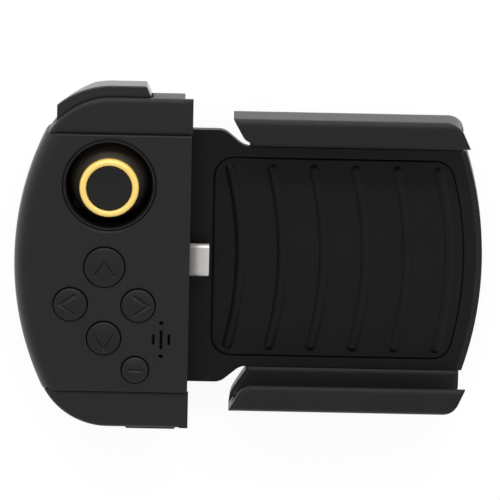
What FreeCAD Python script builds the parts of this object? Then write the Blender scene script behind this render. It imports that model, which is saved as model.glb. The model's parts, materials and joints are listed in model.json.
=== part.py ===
"""Mobile game controller for one hand: a left grip with its controls, and a sprung cradle for a phone.

X runs from the grip to the free end of the cradle, Y across the phone, Z towards the player.
X 0 is the wall that the phone's lower edge meets, Y 0 is the middle of the plug, and Z 0 is the
plane that the controller lies on. Lengths are in millimetres.
"""
import FreeCAD, Part
import os
from math import acos, atan2, ceil, cos, degrees, pi, radians, sin, sqrt, tan

V = FreeCAD.Vector
EPS = 0.001
GAP = 0.3                 # seen round every button
FIT = 0.15                # between pieces that slide on or locate each other
RUNNING = 0.05            # radial, of a pin or shaft in its hole

# Heights
BED_TOP = 9.4             # face of the cradle under the phone
PHONE_GAP = 8.5           # from the bed to the undersides of the lips
CAP_LIP = 1.1             # lip of the caps over the phone's edge
PANEL_STEP = 0.8          # front panel above the caps
ARM_LIP = 1.8
SPLIT_RISE = 1.2          # parting line of the grip above the bed
LIP_UNDER = BED_TOP + PHONE_GAP
CAP_FRONT = LIP_UNDER + CAP_LIP
FRONT = CAP_FRONT + PANEL_STEP
SPLIT = BED_TOP + SPLIT_RISE

# Thumbstick
STICK_RISE = 3.4          # of the yellow ring above the panel
STICK_DEPTH = 9.6         # of the pivot below the panel's face
STICK_RING_R = 7.35
STICK_DISC_R = 5.5
STICK_RING_HEIGHT = 2.2
RING_FLANGE = 0.4         # of the cap, under the ring
RING_ROUND = 0.55
SKIRT_R = 10.4
SKIRT_THICK = 0.8
SKIRT_HUB = 3.0           # length of the dome's hub round the stem
SKIRT_RIM = 80.0          # degrees from the stick's axis
COLLAR_R = 10.6
COLLAR_WIDTH = 0.9
COLLAR_SINK = 0.4         # below the panel's face
COLLAR_FLANGE = 1.1
COLLAR_FLANGE_THICK = 0.9
STEM_R = 1.5
STEM_SINK = 1.4           # end of the stem below the ring's top
DISC_SEAT = 1.0           # below the ring's top
DISC_SINK = 0.3           # disc's face below the ring's top
DISC_HOLLOW = 0.4
NECK_R = 3.1              # of the cap, down to the dome
STEM_FOOT_R = 1.2
HOUSING_HALF = 5.5
HOUSING_WALL = 0.5
HOUSING_ABOVE = 2.2       # of the pivot
BASE_DEPTH = 5.2          # of the module's plate below the pivot
BASE_THICK = 1.0
BASE_HALF = 8.6
TRUNNION_R = 1.1
PIN_END = 0.8             # of the yokes' pins, in the sensors
ARCH_R = 4.8
ARCH_HALF = 2.3
ARCH_THICK = 1.0
SENSOR_THICK = 1.5
PRESS_TRAVEL = 0.4
PIVOT_BLOCK_HALF = 1.1
STEM_SHOULDER = PIVOT_BLOCK_HALF + PRESS_TRAVEL + 0.6
STEM_FOOT = PIVOT_BLOCK_HALF + 0.45
STEM_FOOT_THICK = 0.35
STICK_TOP = FRONT + STICK_RISE
STICK_PIVOT = FRONT - STICK_DEPTH
BASE_FLOOR = STICK_PIVOT - BASE_DEPTH
COLLAR_OUT = COLLAR_R + COLLAR_WIDTH

# Buttons
UP_R = 4.95
SIDE_R = 4.1              # of the left, right and down buttons
FUNCTION_R = 3.25
UP_STEP = UP_R + SIDE_R + 0.55           # steps from the middle of the four
SIDE_STEP = 2 * SIDE_R + 0.2
DOWN_STEP = 2 * SIDE_R + 0.25
FUNCTION_ACROSS = SIDE_R + FUNCTION_R + 0.55
FUNCTION_BELOW = SIDE_R + FUNCTION_R + 0.6   # from the down button
BUTTON_EDGE = 0.5         # cylinder seen above the panel
BUTTON_CROWN = 0.7        # dome above that
BUTTON_FLANGE = 0.55
BUTTON_FLANGE_THICK = 0.8
BUTTON_TRAVEL = 1.0
BUTTON_SOFTEN = 0.35      # round between a button's side and dome
PLUNGER_R = 1.8
MARK_DEPTH = 0.3
MARK_STROKE = 0.7
MARK_HALF = 2.4           # of a chevron, across
MARK_LENGTH = 3.5         # of a chevron, from its tip back
UP_MARK_REACH = 2.2       # of a chevron's tip from the button's middle
SIDE_MARK_REACH = 3.15

# Shoulder button
SHOULDER_SLANT = 0.45     # run of its right end for each millimetre outwards
SHOULDER_PROUD = 2.75
SHOULDER_DROP = 1.8       # front face behind the cap's
SHOULDER_ROUND = 0.4
SHOULDER_TIP = 0.8        # thickness of its left end
SHOULDER_THIN = 2.3       # length of that end
SHOULDER_SWELL = 7.5      # length over which it gets its full depth
SHOULDER_WALL = 1.2
SHOULDER_SWING = 1.4      # room for the left end as the button turns
SHOULDER_PIN_R = 0.75
SHOULDER_EAR_R = 1.7
SHOULDER_FRONT = CAP_FRONT - SHOULDER_DROP
SHOULDER_BACK = SPLIT + GAP
SWITCH_ROOM = 0.45        # for the button's travel before the switch
SWITCH_TIP = 0.8
SWITCH_TIP_R = 0.9
SWITCH_DEEP = 3.0
SWITCH_HALF = 2.4
SWITCH_BOARD = 1.0
SWITCH_BOARD_HALF = 6.0

# Plan of the grip, as large as what it holds
WALL = 1.8
STICK_ABOVE = 1.35        # from the collar to the panel's upper edge
STICK_BELOW = 3.95        # from the collar to the up button's hole
STICK_RIGHT = 6.85        # from the collar to the phone's wall
STICK_LEFT = 11.3         # from the collar to the left side
PANEL_BELOW = 2.2         # from the function button's hole to the panel's lower edge
CAP_ROOM = 0.3            # between the panel and the shoulder button's board
SIDE_BOW = 74.55          # radius of the left side
CORNER = 18.0
EDGE_ROUND = 0.8
LIP_REACH = 2.1           # lip beyond the phone's wall
PANEL_ROUND = 4.0
PANEL_PROUD = 0.45        # at the left side
PANEL_LIP_SHORT = 0.25
BACK_ROUND = min(0.75 * CORNER, FRONT - PANEL_ROUND - 1)
PANEL_HALF = (STICK_ABOVE + 2 * COLLAR_OUT + STICK_BELOW + UP_R + UP_STEP + DOWN_STEP + FUNCTION_BELOW
              + FUNCTION_R + 2 * GAP + PANEL_BELOW) / 2
CAP_DEPTH = (WALL + 2 * GAP + SHOULDER_WALL + SWITCH_ROOM + SWITCH_TIP + SWITCH_DEEP + SWITCH_BOARD
             + CAP_ROOM)
GRIP_HALF = PANEL_HALF + CAP_DEPTH
STICK_X = -COLLAR_OUT - STICK_RIGHT
STICK_Y = PANEL_HALF - STICK_ABOVE - COLLAR_OUT
GRIP_REACH = COLLAR_OUT + STICK_LEFT - STICK_X    # from the phone's wall to the left side
DIAMOND_X = STICK_X - 0.75
DIAMOND_Y = STICK_Y - COLLAR_OUT - STICK_BELOW - GAP - UP_R - UP_STEP
SHOULDER_LEFT = 9.55 - GRIP_REACH
SHOULDER_RIGHT = -8.3
SHOULDER_PIN_X = SHOULDER_RIGHT + 2.1
SHOULDER_PIN_Y = GRIP_HALF - 3.8

# Buttons: place, radius of the face, direction and reach of the chevron
BUTTONS = {
    "up_button": (DIAMOND_X - 0.1, DIAMOND_Y + UP_STEP, UP_R, 90, UP_MARK_REACH),
    "left_button": (DIAMOND_X - SIDE_STEP, DIAMOND_Y, SIDE_R, 180, SIDE_MARK_REACH),
    "right_button": (DIAMOND_X + SIDE_STEP, DIAMOND_Y, SIDE_R, 0, SIDE_MARK_REACH),
    "down_button": (DIAMOND_X, DIAMOND_Y - DOWN_STEP, SIDE_R, 270, SIDE_MARK_REACH),
    "function_button": (DIAMOND_X + FUNCTION_ACROSS, DIAMOND_Y - DOWN_STEP - FUNCTION_BELOW, FUNCTION_R,
                        0, None),
}

# Cradle
CRADLE_REACH = 74.3
CRADLE_HALF = 27.95
CRADLE_BOW = 89.0         # radius of the free end
NECK_HALF = PANEL_HALF - 0.55
NECK_END = 9.9
NECK_SLOPE = 40.0         # degrees
NECK_BEND = 4.0
COVER_WALL = 1.6
COVER_RIM = 1.5           # seen round the bed's free end
COVER_INSET = 1.2         # of the cover's sides, under the bed
COVER_ROUND = 3.0
COVER_INNER = CRADLE_HALF - COVER_INSET - COVER_WALL
BED_THICK = 2.2
BED_TONGUE = -STICK_X - SKIRT_R - 0.45    # of the bed, inside the grip, clear of the stick's dome
TONGUE_HALF = 24.0
TONGUE_THICK = 1.6
FAR = GRIP_REACH + CRADLE_REACH           # past everything

# Rubber pad
PAD_START = 7.3
PAD_HALF = 25.4
PAD_MARGIN = 2.9          # at the free end of the bed
PAD_END = CRADLE_REACH - COVER_RIM - PAD_MARGIN
PAD_CORNER = 5.0
PAD_DEPTH = 1.0
BEADS = 6
BEAD_START = 11.5
BEAD_HALF = 22.4
BEAD_BULGE = 2.9
BEAD_WIDTH = 2.6
BEAD_REST = 3.75          # from the last bead's crest to the pad's end
BEAD_PITCH = (PAD_END - BEAD_REST - BEAD_START - BEAD_BULGE) / (BEADS - 1)
BEAD_HEIGHT = 0.8

# Clamp arms
PHONE_HALF = 35.25        # half the width of the narrowest phone
ARM_WALL = 1.9
ARM_LIP_REACH = 4.7       # lip in from the arm's inner face
ARM_BACK = 6.0            # thickness beside the cradle
ARM_BACK_ROUND = 7.4
ARM_EDGE = 1.2
ARM_START = 12.1
ARM_END = CRADLE_REACH - 3.5
ARM_BACK_END = CRADLE_REACH - 5.2
ARM_TRAVEL = 8.0
ARM_HALF = PHONE_HALF + ARM_WALL
LIP_HALF = PHONE_HALF - ARM_LIP_REACH

# Rack and pinion that moves the arms together
MODULE = 0.8
TEETH = 12
PRESSURE = radians(25.0)
BACKLASH = 0.16
ADDENDUM = 0.9 * MODULE
DEDENDUM = 1.2 * MODULE
PITCH_R = MODULE * TEETH / 2
RACK_TEETH_IN = ceil(ARM_TRAVEL / (pi * MODULE))
RACK_TEETH_OUT = 1
RACK_BACK = 3.0
PINION_POST_R = 1.6
SLIDE_FLOOR = 3.4         # underside of the arms' slides
SLIDE_THICK = 2.0
SLIDE_START = 20.0
SLIDE_CLEAR = 2.2         # from the slides to the cradle's outer screws
SLIDE_HOLD = 2.15         # of the slides left in the cradle when the arms are out
SLIDE_INNER = COVER_INNER - SLIDE_HOLD - ARM_TRAVEL
RIB = 1.2
RACK_REST_HALF = 5.0      # of the rests behind the racks
GEAR_SLIP = 0.1           # above and below slides and pinion

# Springs of the arms
SPRING_R = 1.5
SPRING_WIRE = 0.5
SPRING_TURNS = 6
SPRING_PEG_R = 0.8
SPRING_PEG_Y = SLIDE_INNER - 2.4
SPRING_OFFSET = 12.5      # from the pinion

# Board and membrane
MEMBRANE_EDGE = 3.5       # from the grille's middle to the membrane
MEMBRANE_SHORT = 4.0      # of the board's upper edge
BOARD_DEPTH = 8.6         # of the board's underside below the panel's face
BOARD_THICK = 1.2
MEMBRANE_THICK = 0.8
DOME_R = 2.4
DOME_RISE = BUTTON_TRAVEL - 0.1
BOARD_FLOOR = FRONT - BOARD_DEPTH
BOARD_TOP = BOARD_FLOOR + BOARD_THICK
BOARD_LEFT = GRIP_REACH - 7.7
BOARD_LOW = PANEL_HALF - 1.65
BOARD_HIGH = STICK_Y - COLLAR_OUT + 0.3

# Plug, charging socket, sound duct
PLUG_LIFT = 4.36          # axis above the bed
PLUG_REACH = 6.65
PLUG_WIDTH = 8.25
PLUG_HEIGHT = 2.4
PLUG_WALL = 0.35
PLUG_ROOT = 4.0           # length held in the moulded base
BLOCK_WIDTH = 10.8
BLOCK_LENGTH = 6.0
SOCKET_X = -7.2
SOCKET_WIDTH = 8.94
SOCKET_HEIGHT = 3.26
SOCKET_LENGTH = 7.3
SOCKET_PAD_HALF = 6.2
SOCKET_PAD_PROUD = 0.6
GRILLE_X = -4.85
GRILLE_Y = DIAMOND_Y - 8.6
GRILLE_SLOT = 0.72
GRILLE_LONG = 5.0
GRILLE_SHORT = 2.8
GRILLE_STEP = 1.95
GRILLE_DOT_R = 0.55
GRILLE_DOT_Y = 4.25
DUCT_HALF = 5.6
DUCT_WALL = 0.8
PLUG_Z = BED_TOP + PLUG_LIFT
BOARD_TAIL = 5.8 - SOCKET_X     # width of the strip that carries the charging socket

# Screws: shaft, head, height of the head's seat
SCREW_R = 0.95
HEAD_R = 1.75
HEAD_THICK = 1.2
BOSS_R = 2.8
PILOT_R = SCREW_R + 1.1         # outside of the panel's and the caps' screw bosses
PILOT_DEPTH = 5.0
GRIP_SEAT = 6.0
CRADLE_SEAT = 2.0
CRADLE_SCREW_LENGTH = 5.5
CRADLE_SCREW_IN = 7.3           # from the free end
CRADLE_SCREW_FAR = CRADLE_REACH - CRADLE_SCREW_IN
CRADLE_SCREWS = [(13.0, 21.0), (13.0, -21.0), (CRADLE_SCREW_FAR, 14.0), (CRADLE_SCREW_FAR, -14.0)]
PANEL_SCREW_IN = 5.1            # from the left side
LOW_SCREW_IN = 8.0
PANEL_SCREW_DOWN = 4.05         # from the panel's upper edge
PANEL_SCREWS = [(PANEL_SCREW_IN - GRIP_REACH, 8.0), (LOW_SCREW_IN - GRIP_REACH, -19.0),
                (-4.2, PANEL_HALF - PANEL_SCREW_DOWN)]
TOP_CAP_SCREWS = [(-3.8, PANEL_HALF + PILOT_R + GAP)]
BOTTOM_CAP_SCREWS = [(17.15 - GRIP_REACH, -PANEL_HALF - PILOT_R - GAP)]
BOARD_SCREW_IN = 2.7            # from the board's left side
BOARD_SCREWS = [(BOARD_SCREW_IN - BOARD_LEFT, BOARD_HIGH - 2.2),
                (BOARD_SCREW_IN - BOARD_LEFT, 3.5 - BOARD_LOW), (STICK_X + 4.95, BOARD_HIGH - 2.2)]

# Middle of the slides, between the cradle's neck and its outer screws
SLIDE_END = CRADLE_SCREW_FAR - BOSS_R - SLIDE_CLEAR
SLIDE_HALF_LENGTH = (SLIDE_END - SLIDE_START) / 2
PINION_X = (SLIDE_START + SLIDE_END) / 2


def save(name, shape):
    shape.exportStep("parts/%s.step" % name)


def box(x0, x1, y0, y1, z0, z1):
    return Part.makeBox(x1 - x0, y1 - y0, z1 - z0, V(x0, y0, z0))


def above(z):
    """Everything above a height."""
    return box(-FAR, FAR, -FAR, FAR, z, FAR)


def post(x, y, z0, z1, radius):
    return Part.makeCylinder(radius, z1 - z0, V(x, y, z0))


def joined(shapes):
    """One solid from several that touch."""
    whole = shapes[0].fuse(shapes[1:]) if len(shapes) > 1 else shapes[0]
    return whole.removeSplitter()


def group(shapes):
    return Part.makeCompound(shapes)


def in_mirror(shape):
    return shape.mirror(V(0, 0, 0), V(0, 1, 0))


def corner_face(corners):
    """Flat face in XY from corners (x, y, radius): straight sides that meet in tangent arcs."""
    spots = [V(x, y, 0) for x, y, radius in corners]
    ends = []
    arcs = []
    for i, (x, y, radius) in enumerate(corners):
        here = spots[i]
        before = (spots[i - 1] - here).normalize()
        after = (spots[(i + 1) % len(spots)] - here).normalize()
        if radius == 0:
            ends.append((here, here))
            arcs.append(None)
            continue
        half = before.getAngle(after) / 2
        start = here + before * (radius / tan(half))
        stop = here + after * (radius / tan(half))
        middle = here + (before + after).normalize() * (radius / sin(half) - radius)
        ends.append((start, stop))
        arcs.append(Part.Arc(start, middle, stop).toShape())
    edges = []
    for i, arc in enumerate(arcs):
        if arc:
            edges.append(arc)
        start, stop = ends[i][1], ends[(i + 1) % len(ends)][0]
        if start.distanceToPoint(stop) > EPS:
            edges.append(Part.makeLine(start, stop))
    return Part.Face(Part.Wire(edges))


def raised(face, z0, z1):
    """Prism on a flat face between two heights."""
    shape = face.extrude(V(0, 0, z1 - z0))
    shape.translate(V(0, 0, z0))
    return shape


def prism(corners, z0, z1):
    return raised(corner_face(corners), z0, z1)


def prism_x(corners, x0, x1):
    """Prism along X; the corners are (y, z, radius)."""
    shape = raised(corner_face(corners), x0, x1)
    turn = FreeCAD.Placement(FreeCAD.Matrix(0, 0, 1, 0, 1, 0, 0, 0, 0, 1, 0, 0, 0, 0, 0, 1))
    shape.Placement = turn.multiply(shape.Placement)
    return shape


def oblong(u, v, width, height):
    """Corners of a slot with full round ends, centred on u, v."""
    radius = min(width, height) / 2
    across, along = width / 2, height / 2
    return [(u - across, v - along, radius), (u + across, v - along, radius),
            (u + across, v + along, radius), (u - across, v + along, radius)]


def oblong_y(u, v, width, height, y0, y1):
    """Slot with full round ends along Y; u is X and v is Z."""
    shape = raised(corner_face(oblong(u, -v, width, height)), y0, y1)
    shape.rotate(V(0, 0, 0), V(1, 0, 0), -90)
    return shape


def turned(profile, x, y):
    """Solid of revolution about the vertical through x, y; the profile is a list of (radius, z)."""
    points = [V(x + radius, y, z) for radius, z in profile]
    face = Part.Face(Part.makePolygon(points + points[:1]))
    return face.revolve(V(x, y, 0), V(0, 0, 1), 360)


def rounded(shape, radius, chosen):
    return shape.makeFillet(radius, [edge for edge in shape.Edges if chosen(edge)])


def rim_at(z, right):
    """Chooses the edges of an outline at a height, without the straight one at the right."""
    def chosen(edge):
        bounds = edge.BoundBox
        level = abs(bounds.ZMin - z) < EPS and abs(bounds.ZMax - z) < EPS
        return level and bounds.XMin < right - EPS
    return chosen


def screw(x, y, seat, tip):
    """Pan head screw from below, with a cross recess in its head."""
    body = joined([post(x, y, seat - HEAD_THICK, seat, HEAD_R), post(x, y, seat, tip, SCREW_R)])
    arm, half, depth = HEAD_R * 0.6, HEAD_R * 0.14, HEAD_THICK * 0.5
    floor = seat - HEAD_THICK
    for across, along in ((arm, half), (half, arm)):
        body = body.cut(box(x - across, x + across, y - along, y + along, floor - depth, floor + depth))
    return body


def screw_tunnel(x, y, seat, top):
    """Space for a screw's head and shaft in the piece that its head bears on."""
    return post(x, y, -1, seat, HEAD_R + FIT).fuse(post(x, y, seat, top, SCREW_R + FIT))


# Grip shells
def grip_face(inset, right):
    """The D of the grip, inset all round but at its right side."""
    bow = SIDE_BOW - inset
    bow_x = SIDE_BOW - GRIP_REACH
    half = GRIP_HALF - inset
    corner = CORNER - inset
    corner_x, corner_y = corner_centre(), GRIP_HALF - CORNER
    lean = atan2(corner_y, corner_x - bow_x)
    halfway = (lean + pi / 2) / 2
    top = V(corner_x, half, 0)
    bend = V(corner_x + corner * cos(halfway), corner_y + corner * sin(halfway), 0)
    meet = V(bow_x + bow * cos(lean), bow * sin(lean), 0)
    flip = lambda p: V(p.x, -p.y, 0)
    edges = [
        Part.makeLine(V(right, half, 0), top),
        Part.Arc(top, bend, meet).toShape(),
        Part.Arc(meet, V(bow_x - bow, 0, 0), flip(meet)).toShape(),
        Part.Arc(flip(meet), flip(bend), flip(top)).toShape(),
        Part.makeLine(flip(top), V(right, -half, 0)),
        Part.makeLine(V(right, -half, 0), V(right, half, 0)),
    ]
    return Part.Face(Part.Wire(edges))


def grip_block(inset, right, z0, z1, front_round):
    """Solid grip with its rounded back, and its front edge rounded where asked."""
    block = raised(grip_face(inset, right), z0, z1)
    block = rounded(block, BACK_ROUND - max(inset, 0), rim_at(z0, right))
    if front_round:
        block = rounded(block, front_round, rim_at(z1, right))
    return block


def grip_cavity(front):
    return grip_block(WALL, -WALL, WALL, front - WALL, 0)


def panel_band():
    """Middle of the grip, proud of the caps at the front and the left side."""
    block = grip_block(-PANEL_PROUD, 0, 0, FRONT, PANEL_ROUND)
    return block.common(box(-FAR, FAR, -PANEL_HALF, PANEL_HALF, -1, FAR))


def front_bosses(places, top):
    return [post(x, y, SPLIT, top, PILOT_R) for x, y in places]


def front_pilots(places):
    return [post(x, y, SPLIT - 1, SPLIT + PILOT_DEPTH, SCREW_R + RUNNING) for x, y in places]


def plug_hole():
    slot = oblong(0, PLUG_Z, PLUG_WIDTH + 2 * FIT, PLUG_HEIGHT + 2 * FIT)
    return prism_x(slot, -WALL - 1, 1)


def grille_holes():
    """Three slots and two round holes over the sound duct."""
    z0, z1 = FRONT - WALL - 1, FRONT + 1
    holes = [prism(oblong(GRILLE_X, GRILLE_Y, GRILLE_SLOT, GRILLE_LONG), z0, z1)]
    for side in (-1, 1):
        x = GRILLE_X + side * GRILLE_STEP
        holes.append(prism(oblong(x, GRILLE_Y, GRILLE_SLOT, GRILLE_SHORT), z0, z1))
        holes.append(post(GRILLE_X, GRILLE_Y + side * GRILLE_DOT_Y, z0, z1, GRILLE_DOT_R))
    return holes


def duct_inlet():
    """Slot in the phone's wall, facing the loudspeaker in the phone's lower edge."""
    width = 2 * (DUCT_HALF - DUCT_WALL) - 2
    height = LIP_UNDER - BOARD_TOP - 2 * DUCT_WALL - 0.6
    middle = BOARD_TOP + DUCT_WALL + 0.3 + height / 2
    return prism_x(oblong(GRILLE_Y, middle, width, height), -WALL - 0.5, 1)


def front_panel():
    lip = box(-WALL, LIP_REACH - PANEL_LIP_SHORT, -PANEL_HALF, PANEL_HALF, LIP_UNDER, FRONT)
    shape = panel_band().common(above(SPLIT)).fuse(lip)
    inside = grip_cavity(FRONT)
    bosses = [boss.cut(above(FRONT - WALL)) for boss in front_bosses(PANEL_SCREWS, FRONT - WALL)]
    shape = shape.cut(inside).fuse(bosses)
    holes = [post(x, y, SPLIT, FRONT + 1, radius + GAP) for x, y, radius, turn, reach in BUTTONS.values()]
    holes.append(post(STICK_X, STICK_Y, SPLIT, FRONT + 1, COLLAR_OUT + RUNNING))
    holes += grille_holes() + front_pilots(PANEL_SCREWS) + [plug_hole(), duct_inlet()]
    shape = shape.cut(holes).removeSplitter()
    stick_rim = lambda edge: (
        abs(edge.BoundBox.ZMin - FRONT) < EPS
        and abs(edge.BoundBox.XMin - (STICK_X - COLLAR_OUT - RUNNING)) < 0.01)
    shape = rounded(shape, 0.6, stick_rim)
    step = lambda edge: (
        abs(abs(edge.BoundBox.YMin) - PANEL_HALF) < EPS and edge.BoundBox.YLength < EPS
        and abs(edge.BoundBox.ZMin - FRONT) < EPS and edge.BoundBox.XLength > GRIP_REACH / 2)
    return rounded(shape, 0.35, step)


def cap_blank():
    """Whole ring of the grip's front at the caps' height, with their lip."""
    lip = box(0, LIP_REACH, -GRIP_HALF, GRIP_HALF, LIP_UNDER, CAP_FRONT)
    block = grip_block(0, 0, 0, CAP_FRONT, EDGE_ROUND).fuse(lip)
    return block.cut(grip_cavity(CAP_FRONT))


def top_cap():
    shape = cap_blank().common(box(-FAR, FAR, PANEL_HALF, FAR, SPLIT, FAR))
    hinge = post(SHOULDER_PIN_X, SHOULDER_PIN_Y, SHOULDER_FRONT - FIT, CAP_FRONT - WALL, SHOULDER_EAR_R)
    shape = joined([shape, hinge] + front_bosses(TOP_CAP_SCREWS, CAP_FRONT - WALL))
    window = shoulder_zone(-SHOULDER_PROUD - 1, WALL + 4 * GAP, GAP, PANEL_HALF + 1, SPLIT - 1,
                           SHOULDER_FRONT + GAP)
    pin = post(SHOULDER_PIN_X, SHOULDER_PIN_Y, SPLIT, CAP_FRONT - WALL + 0.8, SHOULDER_PIN_R + RUNNING)
    return shape.cut([window, pin] + front_pilots(TOP_CAP_SCREWS)).removeSplitter()


def bottom_cap():
    shape = cap_blank().common(box(-FAR, FAR, -FAR, -PANEL_HALF, SPLIT, FAR))
    low = -GRIP_HALF - SOCKET_PAD_PROUD
    pad = prism([(SOCKET_X - SOCKET_PAD_HALF, low, 0.5), (SOCKET_X + SOCKET_PAD_HALF, low, 0.5),
                 (SOCKET_X + SOCKET_PAD_HALF, -GRIP_HALF + 1, 0),
                 (SOCKET_X - SOCKET_PAD_HALF, -GRIP_HALF + 1, 0)], SPLIT, LIP_UNDER - 0.4)
    shape = joined([shape, pad] + front_bosses(BOTTOM_CAP_SCREWS, CAP_FRONT - WALL))
    mouth = oblong_y(SOCKET_X, socket_z(), SOCKET_WIDTH + 2 * FIT, SOCKET_HEIGHT + 2 * FIT, low - 1,
                     -GRIP_HALF + WALL + 1)
    return shape.cut([mouth] + front_pilots(BOTTOM_CAP_SCREWS)).removeSplitter()


def grip_shell():
    """Rear half of the grip: rounded back, screw posts, and posts for the board and the stick."""
    whole = grip_block(0, 0, 0, CAP_FRONT, 0).fuse(panel_band())
    outer = whole.cut(above(SPLIT))
    places = PANEL_SCREWS + TOP_CAP_SCREWS + BOTTOM_CAP_SCREWS
    posts = [post(x, y, 0, SPLIT, BOSS_R) for x, y in places]
    posts += [post(x, y, 0, BOARD_FLOOR, BOSS_R - 0.8) for x, y in BOARD_SCREWS]
    posts += [post(x, y, 0, BASE_FLOOR, BOSS_R - 0.8) for x, y in stick_screws()]
    posts.append(post(SHOULDER_PIN_X, SHOULDER_PIN_Y, 0, SPLIT, SHOULDER_EAR_R))
    tall = grip_block(0, 0, 0, CAP_FRONT, 0)
    shape = outer.cut(grip_cavity(FRONT)).fuse([one.common(tall) for one in posts])
    cuts = [screw_tunnel(x, y, GRIP_SEAT, SPLIT + 1) for x, y in places]
    cuts += [post(x, y, BOARD_FLOOR - PILOT_DEPTH, BOARD_FLOOR + 1, SCREW_R + RUNNING)
             for x, y in BOARD_SCREWS]
    cuts += [post(x, y, WALL, BASE_FLOOR + 1, SCREW_R + RUNNING) for x, y in stick_screws()]
    cuts.append(post(SHOULDER_PIN_X, SHOULDER_PIN_Y, SPLIT - 1.2, SPLIT + 1, SHOULDER_PIN_R + RUNNING))
    floor = tongue_floor()
    cuts.append(box(-BED_TONGUE, 1, -TONGUE_HALF, TONGUE_HALF, floor, floor + TONGUE_THICK))
    return shape.cut(cuts).removeSplitter()


# Cradle
def cradle_face(inset, left, reach):
    """Plan of the cradle from X left: neck, S-shaped shoulders and a bowed free end."""
    half = CRADLE_HALF - inset
    neck = NECK_HALF - inset
    end = NECK_END - inset * tan(radians(NECK_SLOPE) / 2)
    run = (neck - half) / tan(radians(NECK_SLOPE))
    far = reach + 10
    side = [(left, neck, 0), (end, neck, NECK_BEND), (end + run, half, NECK_BEND), (far, half, 0)]
    corners = side + [(x, -y, radius) for x, y, radius in reversed(side)]
    disc = Part.Face(Part.Wire(Part.makeCircle(CRADLE_BOW, V(reach - CRADLE_BOW, 0, 0))))
    return corner_face(corners).common(disc).Faces[0]


def tongue_floor():
    return BED_TOP - BED_THICK


def bed_blank(z0, z1):
    return raised(cradle_face(0, 0, CRADLE_REACH - COVER_RIM), z0, z1)


def pad_blank(grow, z0, z1):
    """The pad's outline: straight sides and an end that follows the cradle's."""
    reach = PAD_END + grow
    half = PAD_HALF + grow
    sheet = raised(corner_face([(PAD_START - grow, -half, PAD_CORNER), (reach + 9, -half, 0),
                                (reach + 9, half, 0), (PAD_START - grow, half, PAD_CORNER)]), z0, z1)
    bow = CRADLE_BOW - COVER_RIM - PAD_MARGIN + grow
    sheet = sheet.common(post(reach - bow, 0, z0 - 1, z1 + 1, bow))
    far_corner = lambda edge: edge.BoundBox.ZLength > (z1 - z0) / 2 and edge.BoundBox.XMin > reach / 2
    return rounded(sheet, PAD_CORNER, far_corner)


def bead(index):
    """Half-round bead on the pad, bowed towards the free end, with round ends."""
    bow = (BEAD_HALF ** 2 + BEAD_BULGE ** 2) / (2 * BEAD_BULGE)
    radius = ((BEAD_WIDTH / 2) ** 2 + BEAD_HEIGHT ** 2) / (2 * BEAD_HEIGHT)
    swing = atan2(BEAD_HALF, bow - BEAD_BULGE)
    crest = BEAD_START + BEAD_BULGE + BEAD_PITCH * index
    centre = V(crest - bow, 0, BED_TOP + BEAD_HEIGHT - radius)
    ring = Part.Face(Part.Wire(Part.makeCircle(radius, centre + V(bow, 0, 0), V(0, 1, 0))))
    ring.rotate(centre, V(0, 0, 1), -degrees(swing))
    sweep = ring.revolve(centre, V(0, 0, 1), 2 * degrees(swing))
    ends = []
    for side in (-1, 1):
        tip = centre + V(bow * cos(swing), side * bow * sin(swing), 0)
        ends.append(Part.makeSphere(radius, tip))
    return sweep.fuse(ends).common(above(BED_TOP - 0.05))


def phone_pad():
    sheet = pad_blank(-GAP, BED_TOP - PAD_DEPTH, BED_TOP)
    return joined([sheet] + [bead(index) for index in range(BEADS)])


def cradle_bed():
    """Front plate of the cradle, with its tongue into the grip and its screw posts."""
    floor = tongue_floor()
    plate = bed_blank(floor, BED_TOP).cut(pad_blank(0, BED_TOP - PAD_DEPTH, BED_TOP + 1))
    tongue = box(-BED_TONGUE + FIT, EPS, -TONGUE_HALF + FIT, TONGUE_HALF - FIT, floor, floor + TONGUE_THICK)
    posts = [post(x, y, CRADLE_SEAT + 1.6, floor, PILOT_R) for x, y in CRADLE_SCREWS]
    ribs = guide_ribs(SLIDE_FLOOR + SLIDE_THICK + GEAR_SLIP, floor)
    shape = joined([plate, tongue] + posts + ribs)
    return shape.cut([post(x, y, CRADLE_SEAT, BED_TOP - PAD_DEPTH - 0.4, SCREW_R + RUNNING)
                      for x, y in CRADLE_SCREWS])


def guide_ribs(z0, z1):
    """Rails that the arms' slides run between."""
    rails = []
    inner, outer = SLIDE_INNER - 1, COVER_INNER
    for side in (-1, 1):
        x = PINION_X + side * (SLIDE_HALF_LENGTH - 3)
        rails.append(box(x - RIB / 2, x + RIB / 2, inner, outer, z0, z1))
        rails.append(box(x - RIB / 2, x + RIB / 2, -outer, -inner, z0, z1))
    return rails


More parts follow.
